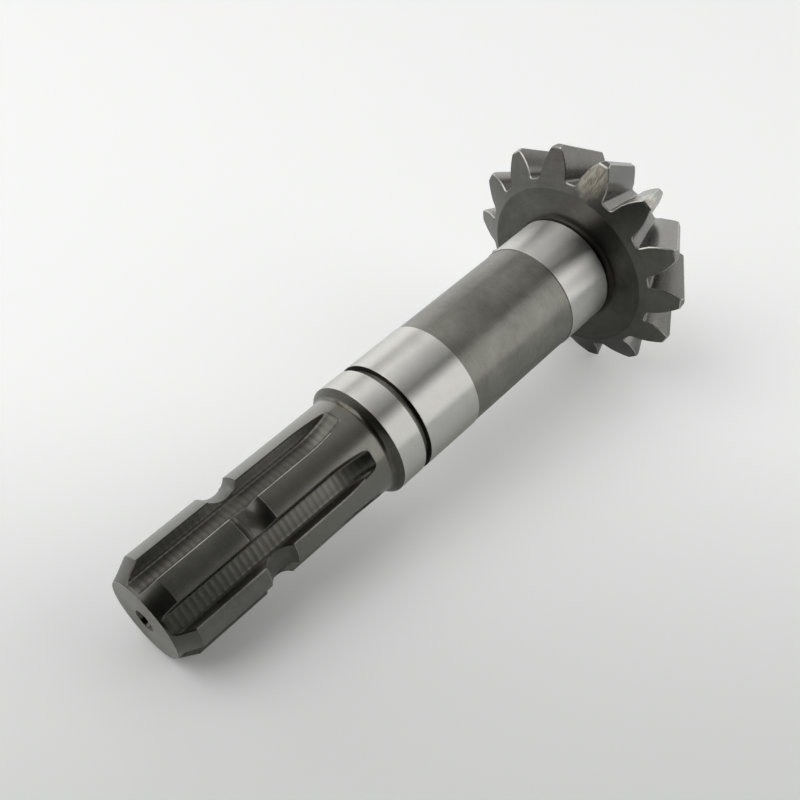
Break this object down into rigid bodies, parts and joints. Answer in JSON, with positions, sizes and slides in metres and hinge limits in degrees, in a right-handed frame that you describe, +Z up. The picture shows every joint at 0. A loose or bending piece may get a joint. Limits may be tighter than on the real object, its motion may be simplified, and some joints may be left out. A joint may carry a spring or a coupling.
{
  "type": "pinion shaft",
  "caption": "Steel pinion shaft with a splined drive end, lock groove, ground bearing seats, retaining-ring groove and a straight-tooth bevel pinion cut on its own end.",
  "frame": {"origin": "on the floor, under the middle of the bounding box, with the shaft lying at rest on two neighbouring pinion teeth and one spline", "axes": "+X from the drive end to the pinion, +Z up, +Y to the left of +X; the turning axis lies in the XZ plane and rises by 7.8 degrees towards +X, because the pinion is wider than the splines"},
  "size_m": [0.225, 0.0876, 0.0856],
  "materials": {
    "shaft_steel": "machined and ground case-hardened steel, satin, with bright bearing seats and a light oil film"
  },
  "bodies": {
    "root": {"pinion_shaft": "shaft_steel"}
  },
  "joints": []
}
